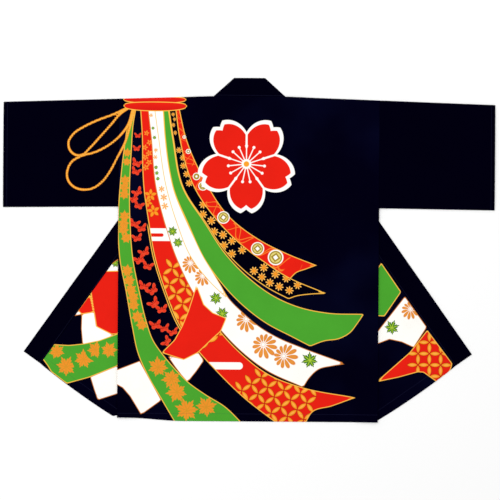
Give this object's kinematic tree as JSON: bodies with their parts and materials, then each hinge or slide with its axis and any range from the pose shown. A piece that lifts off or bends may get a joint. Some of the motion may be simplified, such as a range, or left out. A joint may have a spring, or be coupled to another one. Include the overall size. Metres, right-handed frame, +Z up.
{
  "type": "happi coat",
  "caption": "Straight-cut cotton festival coat laid flat, back upwards, with wide sleeves, a long collar band and both fronts folded out past the sides.",
  "frame": {"origin": "on the surface the coat lies on, under the middle of its outline", "axes": "+X towards the wearer's right cuff, +Y from hem to collar, +Z up out of the back's printed face"},
  "size_m": [1.302, 0.91, 0.005],
  "materials": {
    "navy_cotton": "printed plain-weave cotton, matt",
    "band_cotton": "plain dyed cotton, doubled, matt"
  },
  "bodies": {
    "root": {"back": "navy_cotton", "front_left": "navy_cotton", "front_right": "navy_cotton", "sleeve_left": "navy_cotton", "sleeve_right": "navy_cotton", "collar": "band_cotton"}
  },
  "joints": []
}
